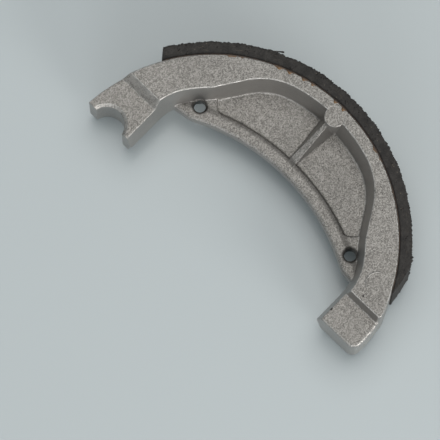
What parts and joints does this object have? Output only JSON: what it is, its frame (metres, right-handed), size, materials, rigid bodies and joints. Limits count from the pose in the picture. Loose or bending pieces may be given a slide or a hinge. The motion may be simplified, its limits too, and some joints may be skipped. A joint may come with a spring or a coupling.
{
  "type": "brake shoe",
  "caption": "Bonded drum brake shoe: cast aluminium arc with web, half-round anchor notch, flat cam end, spring holes and a glued friction lining.",
  "frame": {"origin": "on the drum axis, at the level of the lower rim face that the shoe rests on", "axes": "+X from the drum axis through the middle of the shoe, +Y to the anchor end, +Z along the drum axis"},
  "size_m": [0.0508, 0.1, 0.025],
  "materials": {
    "casting": "as cast, fine grainy skin",
    "lining": "matt, fibrous, fine pores",
    "adhesive": "cured resin, brown"
  },
  "bodies": {
    "root": {"shoe_casting": "casting", "friction_lining": "lining", "adhesive_bond": "adhesive"}
  },
  "joints": []
}
